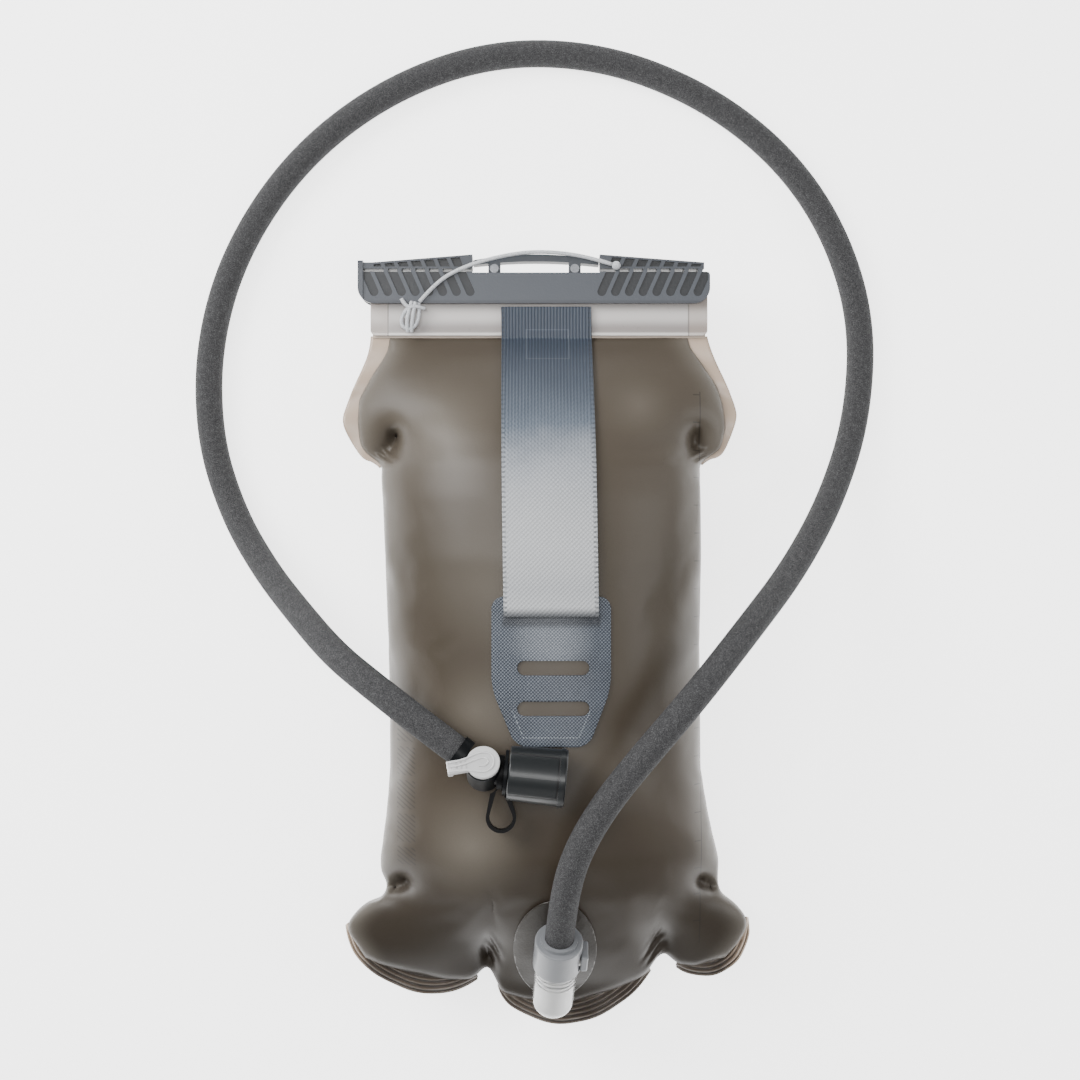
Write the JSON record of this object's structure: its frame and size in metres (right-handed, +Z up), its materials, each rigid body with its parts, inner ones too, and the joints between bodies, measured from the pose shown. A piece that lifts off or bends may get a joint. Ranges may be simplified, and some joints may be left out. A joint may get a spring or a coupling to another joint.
{
  "type": "hydration bladder",
  "caption": "Filled drink reservoir lying on its back, with slide-off seal, webbing strap, plug-in port, sleeved drink hose, shut-off lever and covered bite valve.",
  "frame": {"origin": "on the surface it lies on, under the middle of the bag and its slide seal, the hose left out", "axes": "+X across the bag, +Y from the bottom weld to the mouth, +Z up from the surface it lies on"},
  "size_m": [0.3528, 0.5078, 0.125],
  "materials": {
    "film": "frosted translucent film",
    "band_plastic": "satin, stiff",
    "slide_plastic": "satin moulded",
    "rivet_metal": "dull",
    "lanyard": "braided thin cord",
    "webbing": "woven webbing, dark to pale",
    "patch_fabric": "woven, coated",
    "flange_film": "frosted",
    "clear_plastic": "frosted clear",
    "collar_plastic": "satin moulded",
    "nose_plastic": "moulded",
    "seal_rubber": "o-ring",
    "spring_steel": "spring wire",
    "tube_plastic": "clear tube",
    "sleeve_fabric": "knitted insulating sleeve",
    "valve_plastic": "gloss moulded",
    "bite_silicone": "translucent silicone",
    "tether_rubber": "matte"
  },
  "bodies": {
    "reservoir": {"film_front": "film", "film_rear": "film", "mouth_lips": "film", "mouth_band": "band_plastic", "fold_rail": "band_plastic", "strap_webbing": "webbing", "strap_patch": "patch_fabric", "port_flange": "flange_film", "port_socket": "clear_plastic", "port_seal": "seal_rubber", "lanyard_hitch": "lanyard", "weld_ridges": "film"},
    "slide": {"slide_seal": "slide_plastic", "hanger_bridge": "slide_plastic", "hanger_pins": "rivet_metal", "lanyard_cord": "lanyard", "lanyard_stopper": "lanyard"},
    "poppet": {"shutoff_poppet": "nose_plastic", "poppet_spring": "spring_steel"},
    "hose": {"plug_collar": "collar_plastic", "plug_nose": "nose_plastic", "plug_o_rings": "seal_rubber", "grip_ring": "collar_plastic", "drink_tube": "tube_plastic", "insulating_sleeve": "sleeve_fabric", "sleeve_ring": "valve_plastic", "valve_body": "valve_plastic", "bite_valve": "bite_silicone", "cover_tether": "tether_rubber", "button_spring": "spring_steel"},
    "button": {"release_button": "collar_plastic", "latch_plate": "nose_plastic"},
    "lever": {"shutoff_rotor": "valve_plastic", "rotor_o_rings": "seal_rubber", "shutoff_lever": "clear_plastic"},
    "cover": {"dust_cover": "valve_plastic"}
  },
  "joints": [
    {"name": "slide_off", "type": "slide", "parent": "reservoir", "child": "slide", "axis": [1, 0, 0], "range_m": [-0.185, 0], "deforming": ["lanyard_cord"]},
    {"name": "plug_pull", "type": "slide", "parent": "reservoir", "child": "hose", "axis": [0.06, 0.755, 0.653], "range_m": [0, 0.02]},
    {"name": "poppet_slide", "type": "slide", "parent": "reservoir", "child": "poppet", "axis": [0.06, 0.755, 0.653], "range_m": [0, 0.003], "deforming": ["poppet_spring"]},
    {"name": "button_press", "type": "slide", "parent": "hose", "child": "button", "axis": [-0.9982, 0.0454, 0.0392], "range_m": [0, 0.0012], "stiffness_N_per_m": 400, "springref_m": -0.002, "deforming": ["button_spring"]},
    {"name": "shutoff_turn", "type": "hinge", "parent": "hose", "child": "lever", "pos_m": [-0.0295, -0.0566, 0.1105], "axis": [0, 0.4231, 0.9061], "range_deg": [0, 90]},
    {"name": "cover_pull", "type": "slide", "parent": "hose", "child": "cover", "axis": [0.9952, -0.098, 0], "range_m": [0, 0.009], "deforming": ["cover_tether"]}
  ],
  "couplings": [
    {"joint": "poppet_slide", "follows": "plug_pull", "ratio": 0.15}
  ]
}
